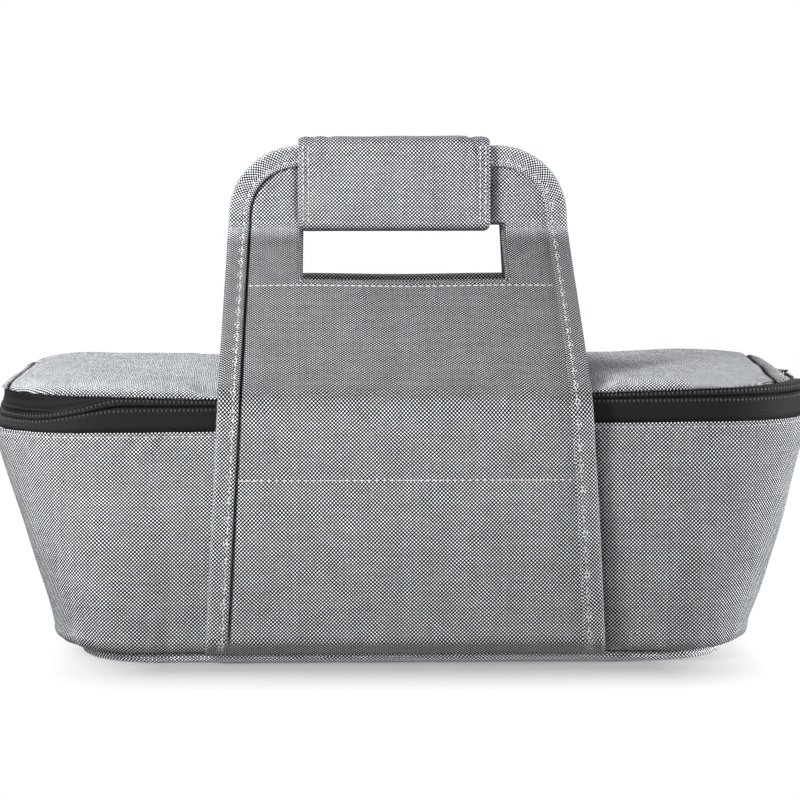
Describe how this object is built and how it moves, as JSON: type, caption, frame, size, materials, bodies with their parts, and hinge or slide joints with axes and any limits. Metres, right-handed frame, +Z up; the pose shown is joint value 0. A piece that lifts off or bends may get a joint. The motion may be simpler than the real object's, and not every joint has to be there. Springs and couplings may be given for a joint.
{
  "type": "casserole carrier",
  "caption": "Soft insulated casserole carrier: flared body, zipped hinged lid and slotted handle panels that meet in a padded grip wrap.",
  "frame": {"origin": "middle of the base, on the surface that the carrier stands on", "axes": "+X along the carrier's length, -Y towards the pictured front panel, +Z up"},
  "size_m": [0.4834, 0.2992, 0.2973],
  "materials": {
    "woven": "black and white plain weave canvas that reads as mid grey",
    "lining": "smooth wipe-clean grey lining",
    "foam": "closed-cell insulating foam, hidden inside",
    "board": "stiff plastic base board, hidden inside",
    "zip_tape": "black woven zipper tape",
    "zip_coil": "black nylon coil",
    "closure": "black hook and loop strip",
    "metal": "dark plated zipper hardware"
  },
  "bodies": {
    "bag": {"base_piping": "woven", "base_panel": "woven", "base_board": "board", "base_foam": "foam", "body_shell": "woven", "wall_foam": "foam", "lining_tub": "lining", "rim_binding": "zip_tape", "zip_tape_lower": "zip_tape", "zip_coil_lower": "zip_coil", "zip_stop": "metal", "front_sewn_face": "woven", "front_sewn_core": "foam", "front_sewn_backing": "woven", "front_sewn_binding_left": "woven", "front_sewn_binding_right": "woven", "back_sewn_face": "woven", "back_sewn_core": "foam", "back_sewn_backing": "woven", "back_sewn_binding_left": "woven", "back_sewn_binding_right": "woven"},
    "front_handle": {"front_face": "woven", "front_core": "foam", "front_backing": "woven", "front_binding": "woven", "front_slot_facing": "woven", "wrap_front_cover": "woven", "wrap_front_pad": "foam", "wrap_loop_strip": "closure"},
    "back_handle": {"back_face": "woven", "back_core": "foam", "back_backing": "woven", "back_binding": "woven", "back_slot_facing": "woven"},
    "wrap_flap": {"wrap_flap_cover": "woven", "wrap_flap_pad": "foam", "wrap_hook_strip": "closure"},
    "lid": {"lid_top": "woven", "lid_end_left": "woven", "lid_end_right": "woven", "lid_foam": "foam", "lid_lining": "lining", "lid_hinge_strip": "woven", "zip_tape_upper": "zip_tape", "zip_coil_upper": "zip_coil"},
    "zip_slider": {"zip_slider": "metal"},
    "zip_pull": {"zip_pull": "metal"}
  },
  "joints": [
    {"name": "handles_fold", "type": "hinge", "parent": "bag", "child": "front_handle", "pos_m": [0, -0.1463, 0.106], "axis": [1, 0, 0], "range_deg": [0, 150], "deforming": ["wrap_flap_cover", "wrap_flap_pad", "wrap_hook_strip"]},
    {"name": "back_handle_fold", "type": "hinge", "parent": "bag", "child": "back_handle", "pos_m": [0, 0.1463, 0.106], "axis": [-1, 0, 0], "range_deg": [0, 150]},
    {"name": "lid_hinge", "type": "hinge", "parent": "bag", "child": "lid", "pos_m": [0, 0.1328, 0.1355], "axis": [-1, 0, 0], "range_deg": [0, 60]},
    {"name": "wrap_flap_open", "type": "hinge", "parent": "front_handle", "child": "wrap_flap", "pos_m": [0, 0.00885, 0.2975], "axis": [1, 0, 0], "range_deg": [0, 150]},
    {"name": "zip_slide", "type": "slide", "parent": "bag", "child": "zip_slider", "axis": [0, -1, 0], "range_m": [0, 0.1]},
    {"name": "zip_pull_swing", "type": "hinge", "parent": "zip_slider", "child": "zip_pull", "pos_m": [0.242, 0.0485, 0.1467], "axis": [0, 0, 1], "range_deg": [0, 170]}
  ],
  "couplings": [
    {"joint": "back_handle_fold", "follows": "handles_fold", "ratio": 1},
    {"joint": "lid_hinge", "follows": "handles_fold", "ratio": 0.4}
  ]
}
